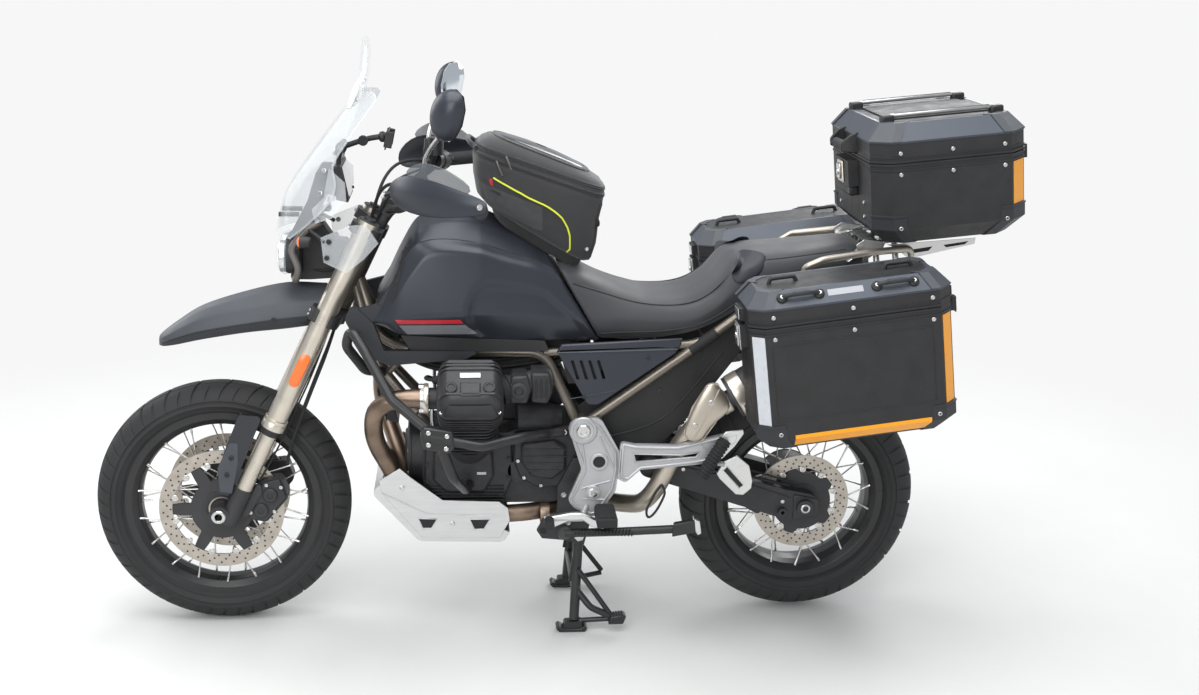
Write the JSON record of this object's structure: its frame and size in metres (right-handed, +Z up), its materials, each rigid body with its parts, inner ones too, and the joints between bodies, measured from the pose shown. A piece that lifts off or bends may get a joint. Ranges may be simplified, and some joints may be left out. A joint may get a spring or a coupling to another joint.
{
  "type": "adventure motorcycle",
  "caption": "Shaft-drive touring motorcycle on its centre stand, with hard side and top cases, tank bag, crash bars and wire-spoked wheels.",
  "frame": {"origin": "on the floor, in the middle of the motorcycle's length and width", "axes": "+X forward, +Y to the rider's left, +Z up"},
  "size_m": [2.3605, 0.968, 1.531],
  "materials": {
    "tyre_rubber": "moulded tread rubber",
    "rim_black": "satin black",
    "spoke_steel": "bright stainless",
    "hub_black": "satin black casting",
    "disc_steel": "ground stainless",
    "yoke_black": "satin black casting",
    "fork_champagne": "anodised champagne",
    "axle_steel": "turned steel",
    "slate_plastic": "grained slate grey",
    "bar_black": "satin black",
    "frame_bronze": "satin bronze lacquer",
    "engine_black": "black cast and lacquered",
    "header_brown": "heat-tinted stainless",
    "silencer_black": "heat-proof black",
    "shield_champagne": "satin champagne steel",
    "bash_aluminium": "brushed sheet",
    "casting_grey": "silver grey lacquer",
    "graphite_paint": "matt graphite lacquer with a blue sheen",
    "seat_vinyl": "matt textured vinyl",
    "tail_plastic": "grained black",
    "lamp_red": "clear red lens",
    "rail_champagne": "dull champagne",
    "plate_aluminium": "brushed sheet",
    "case_black": "grained black",
    "lamp_clear": "clear lens over a reflector",
    "screen_clear": "clear polycarbonate",
    "cradle_silver": "dull silver",
    "bag_fabric": "woven nylon"
  },
  "bodies": {
    "chassis": {"main_frame": "frame_bronze", "engine_block": "engine_black", "engine_cylinders": "engine_black", "head_covers": "engine_black", "exhaust_headers": "header_brown", "silencer": "silencer_black", "heat_shield": "shield_champagne", "skid_plate": "bash_aluminium", "crash_bars": "bar_black", "swing_arm": "engine_black", "shock_absorber": "axle_steel", "footplates": "casting_grey", "fuel_tank": "graphite_paint", "side_fairings": "slate_plastic", "seat": "seat_vinyl", "side_panels": "graphite_paint", "tail_unit": "tail_plastic", "tail_lamp": "lamp_red", "grab_rails": "rail_champagne", "luggage_plate": "plate_aluminium", "pannier_racks": "bar_black", "pannier_left": "case_black", "pannier_right": "case_black", "top_case": "case_black", "headlamp": "lamp_clear", "front_cowl": "tail_plastic", "lamp_cradle": "cradle_silver", "windscreen": "screen_clear", "instrument": "tail_plastic", "tank_bag": "bag_fabric"},
    "steering": {"fork_yokes": "yoke_black", "fork_legs": "fork_champagne", "fork_feet": "yoke_black", "front_axle": "axle_steel", "front_calipers": "yoke_black", "fork_guards": "slate_plastic", "front_mudguard": "slate_plastic", "handlebar": "bar_black", "hand_guards": "graphite_paint", "mirrors": "tail_plastic"},
    "front_wheel": {"front_tyre": "tyre_rubber", "front_rim": "rim_black", "front_spokes": "spoke_steel", "front_hub": "hub_black", "front_discs": "disc_steel"},
    "rear_wheel": {"rear_tyre": "tyre_rubber", "rear_rim": "rim_black", "rear_spokes": "spoke_steel", "rear_hub": "hub_black", "rear_disc": "disc_steel"},
    "pannier_lid_left": {"pannier_lid_left": "case_black"},
    "pannier_lid_right": {"pannier_lid_right": "case_black"},
    "top_case_lid": {"top_case_lid": "case_black"},
    "centre_stand": {"centre_stand": "bar_black"},
    "side_stand": {"side_stand": "bar_black"}
  },
  "joints": [
    {"name": "front_wheel_spin", "type": "hinge", "parent": "steering", "child": "front_wheel", "pos_m": [0.8515, 0, 0.329], "axis": [0, 1, 0], "continuous": true},
    {"name": "rear_wheel_spin", "type": "hinge", "parent": "chassis", "child": "rear_wheel", "pos_m": [-0.6785, 0, 0.33], "axis": [0, 1, 0], "continuous": true},
    {"name": "steering_turn", "type": "hinge", "parent": "chassis", "child": "steering", "pos_m": [0.80637, 0, 0.30747], "axis": [-0.4305, 0, 0.9026], "range_deg": [-35, 35]},
    {"name": "centre_stand_fold", "type": "hinge", "parent": "chassis", "child": "centre_stand", "pos_m": [-0.0765, 0, 0.262], "axis": [0, 1, 0], "range_deg": [0, 82]},
    {"name": "side_stand_swing", "type": "hinge", "parent": "chassis", "child": "side_stand", "pos_m": [-0.0335, 0.19, 0.296], "axis": [-0.0484, -0.9128, -0.4055], "range_deg": [0, 112]},
    {"name": "left_lid_hinge", "type": "hinge", "parent": "chassis", "child": "pannier_lid_left", "pos_m": [-0.92617, 0.373, 0.97423], "axis": [0, -1, 0], "range_deg": [0, 95]},
    {"name": "right_lid_hinge", "type": "hinge", "parent": "chassis", "child": "pannier_lid_right", "pos_m": [-0.92617, -0.373, 0.97423], "axis": [0, -1, 0], "range_deg": [0, 95]},
    {"name": "top_lid_hinge", "type": "hinge", "parent": "chassis", "child": "top_case_lid", "pos_m": [-1.16938, 0, 1.29984], "axis": [0, -1, 0], "range_deg": [0, 90]}
  ]
}
